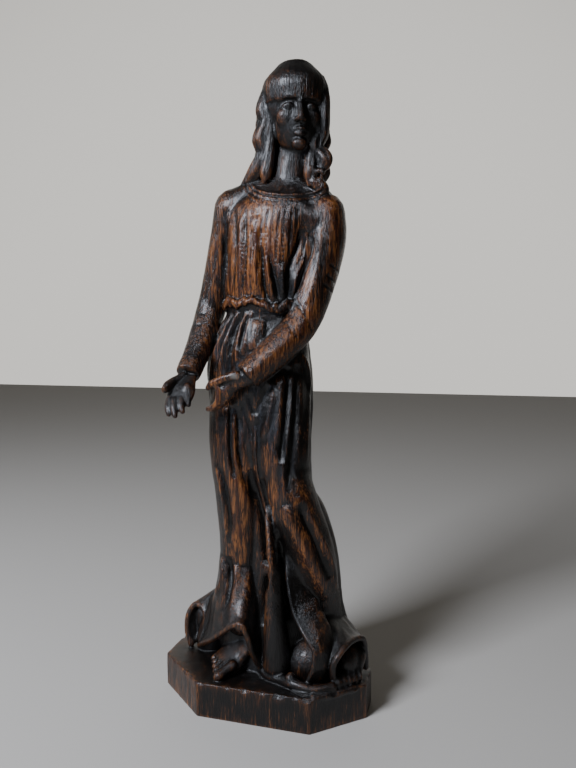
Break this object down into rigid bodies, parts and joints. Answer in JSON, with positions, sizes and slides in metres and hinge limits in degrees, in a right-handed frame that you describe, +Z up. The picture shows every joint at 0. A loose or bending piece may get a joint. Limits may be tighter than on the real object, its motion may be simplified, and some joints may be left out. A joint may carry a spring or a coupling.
{
  "type": "statue",
  "caption": "Slender carved wooden figure of a standing woman in a long gathered gown, hands held out low, on a low faceted plinth.",
  "frame": {"origin": "On the plinth's flat underside, below the figure, near the middle of the plinth.", "axes": "+Z is up. The figure faces -Y, so its own left hand is towards +X."},
  "size_m": [0.167, 0.122, 0.4994],
  "materials": {
    "stained_oak": "dark stained and waxed oak, near black in the hollows and worn through to reddish brown on the heights"
  },
  "bodies": {
    "root": {"carved_woman": "stained_oak"}
  },
  "joints": []
}
